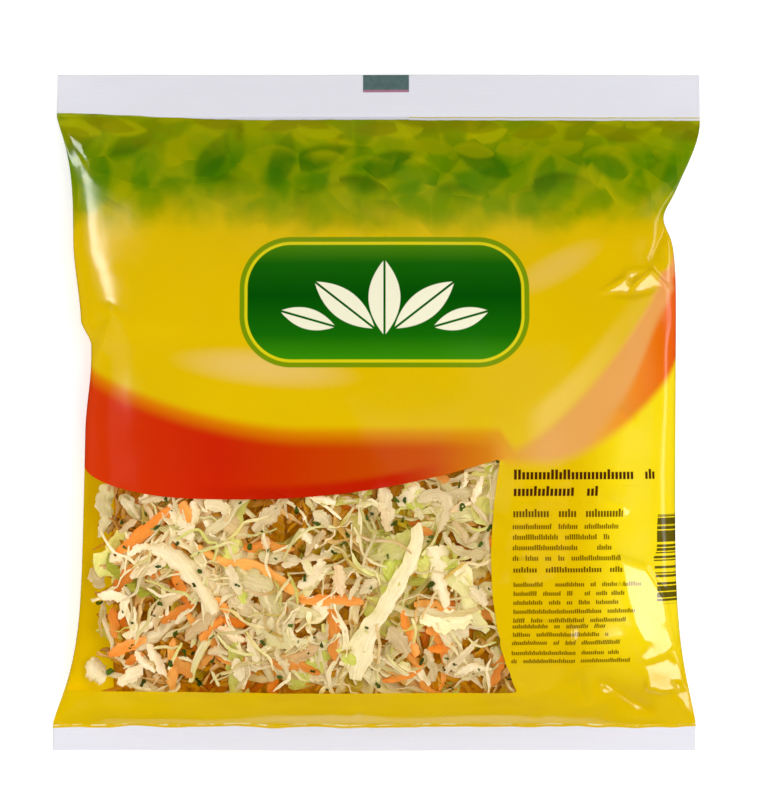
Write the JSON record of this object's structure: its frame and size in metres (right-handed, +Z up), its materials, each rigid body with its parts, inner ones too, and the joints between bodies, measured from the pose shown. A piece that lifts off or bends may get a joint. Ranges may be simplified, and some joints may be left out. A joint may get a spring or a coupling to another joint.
{
  "type": "bag of coleslaw mix",
  "caption": "Filled pillow bag of shredded cabbage and carrot mix with sealed ends, a bright printed film and a clear window, lying on its back.",
  "frame": {"origin": "on the surface the bag lies on, under the middle of the bag", "axes": "+X to the right of the printed face, +Y towards its top edge, +Z up out of the printed face"},
  "size_m": [0.2166, 0.226, 0.0489],
  "materials": {
    "printed_film": "glossy printed plastic film, yellow with green and red fields",
    "seal_film": "white heat-sealed film with fine crimp ridges, satin",
    "clear_film": "clear plastic film, glossy",
    "cabbage": "fresh white cabbage, moist",
    "cabbage_green": "pale green outer cabbage leaf, moist",
    "carrot": "fresh cut carrot, moist",
    "herb": "chopped dark green leaf",
    "packed_mix": "shreds packed below the ones that show, in shade"
  },
  "bodies": {
    "root": {"bag": "printed_film"}
  },
  "joints": []
}
